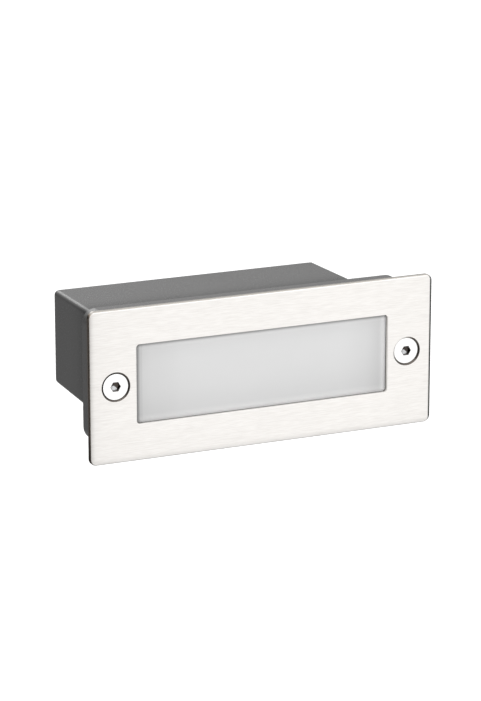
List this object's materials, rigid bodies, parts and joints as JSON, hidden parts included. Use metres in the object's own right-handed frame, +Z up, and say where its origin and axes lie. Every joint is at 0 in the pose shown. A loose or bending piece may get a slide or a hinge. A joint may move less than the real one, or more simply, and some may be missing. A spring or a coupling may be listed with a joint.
{
  "type": "recessed wall light",
  "caption": "Recessed brick-format wall light: a brushed steel face plate with an opal window, screwed to a stepped moulded housing that goes into the wall.",
  "frame": {"origin": "centre of the face plate's outline, in the plane of the wall's face that the wall seal rests on", "axes": "+X to the right seen from the front, +Y into the wall, +Z up"},
  "size_m": [0.17, 0.1095, 0.071],
  "materials": {
    "brushed_plate": "fine horizontal brushing",
    "opal_glass": "opal, satin",
    "bright_steel": "bright",
    "zinc_steel": "zinc plated",
    "grey_moulding": "fine satin",
    "black_rubber": "matte",
    "brass": "machined",
    "white_paint": "powder coated",
    "board_white": "solder mask",
    "led_yellow": "phosphor gel",
    "reflector_white": "gloss",
    "driver_plastic": "fine texture",
    "ivory_plastic": "semi-gloss",
    "black_plastic": "fine satin",
    "lead_brown": "insulation",
    "lead_blue": "insulation",
    "lead_red": "insulation",
    "lead_black": "insulation"
  },
  "bodies": {
    "housing": {"housing": "grey_moulding", "wall_seal": "black_rubber", "rim_seal": "black_rubber", "threaded_insert_left": "brass", "threaded_insert_right": "brass", "gear_tray": "white_paint", "tray_screws": "zinc_steel", "light_board": "board_white", "light_sources": "led_yellow", "board_screws": "zinc_steel", "board_connector": "ivory_plastic", "reflector": "reflector_white", "reflector_screws": "zinc_steel", "lead_bush": "black_rubber", "driver_case": "driver_plastic", "driver_lid": "driver_plastic", "driver_screws": "zinc_steel", "terminal_block": "ivory_plastic", "terminal_barrels": "brass", "terminal_screws": "zinc_steel", "terminal_fixing_screw": "zinc_steel", "live_lead": "lead_brown", "neutral_lead": "lead_blue", "positive_lead": "lead_red", "negative_lead": "lead_black", "gland_washer": "black_rubber", "gland_body": "black_plastic", "gland_sleeve": "black_rubber", "gland_cap": "black_plastic", "gland_locknut": "black_plastic"},
    "cover": {"face_plate": "brushed_plate", "glass": "opal_glass", "glass_seal": "black_rubber", "glass_clips": "zinc_steel", "clip_nuts": "zinc_steel", "cover_screw_left": "bright_steel", "cover_screw_right": "bright_steel"}
  },
  "joints": [
    {"name": "cover_removal", "type": "slide", "parent": "housing", "child": "cover", "axis": [0, -1, 0], "range_m": [0, 0.05]}
  ]
}
